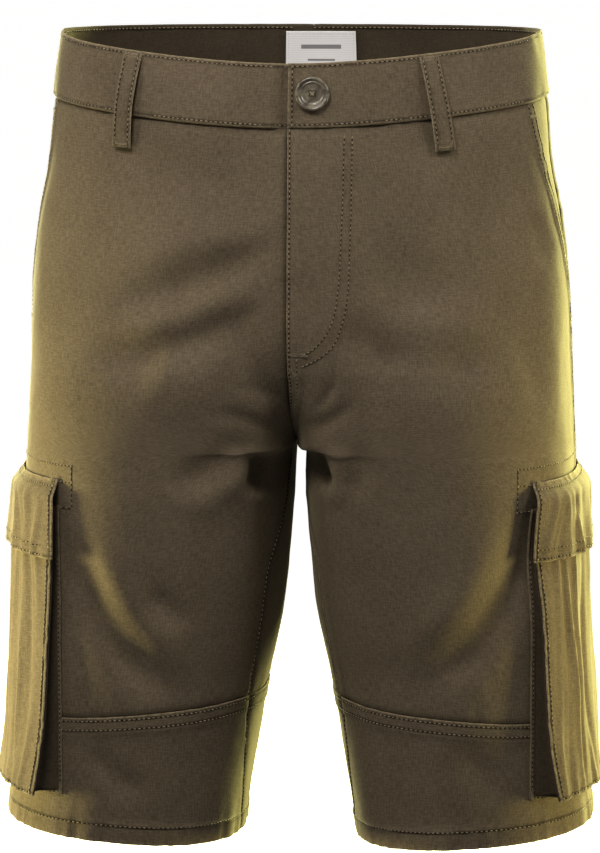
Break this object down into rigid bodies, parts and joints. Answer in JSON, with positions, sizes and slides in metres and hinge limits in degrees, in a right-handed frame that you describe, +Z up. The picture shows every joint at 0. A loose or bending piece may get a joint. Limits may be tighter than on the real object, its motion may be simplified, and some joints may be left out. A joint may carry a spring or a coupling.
{
  "type": "cargo shorts",
  "caption": "Knee-length cargo shorts in plain canvas, filled out as worn, with a buttoned waistband, slanted front pockets, gusseted thigh pockets with flaps and a seam across each lower leg",
  "frame": {"origin": "the middle of the waist, level with the top of the waistband at the sides, where the wearer's waist holds the shorts up", "axes": "+Z up out of the waist, -Y out of the front, +X towards the wearer's left"},
  "size_m": [0.396, 0.2483, 0.5261],
  "materials": {
    "canvas": "brown-olive cotton canvas, matt, with tonal topstitching",
    "horn": "polished dark grey-brown polyester button",
    "satin": "white woven satin label"
  },
  "bodies": {
    "root": {"waistband_left": "canvas", "waistband_right": "canvas", "front_left": "canvas", "front_right": "canvas", "back_left": "canvas", "back_right": "canvas", "lower_front_left": "canvas", "lower_front_right": "canvas", "lower_back_left": "canvas", "lower_back_right": "canvas", "pocket_bearer_left": "canvas", "pocket_bearer_right": "canvas", "fly_shield": "canvas", "cargo_body_left": "canvas", "cargo_body_right": "canvas", "cargo_gusset_left": "canvas", "cargo_gusset_right": "canvas", "cargo_flap_left": "canvas", "cargo_flap_right": "canvas", "belt_loop_front_left": "canvas", "belt_loop_front_right": "canvas", "belt_loop_back_left": "canvas", "belt_loop_back_right": "canvas", "belt_loop_centre": "canvas", "button": "horn", "size_label": "satin"}
  },
  "joints": []
}
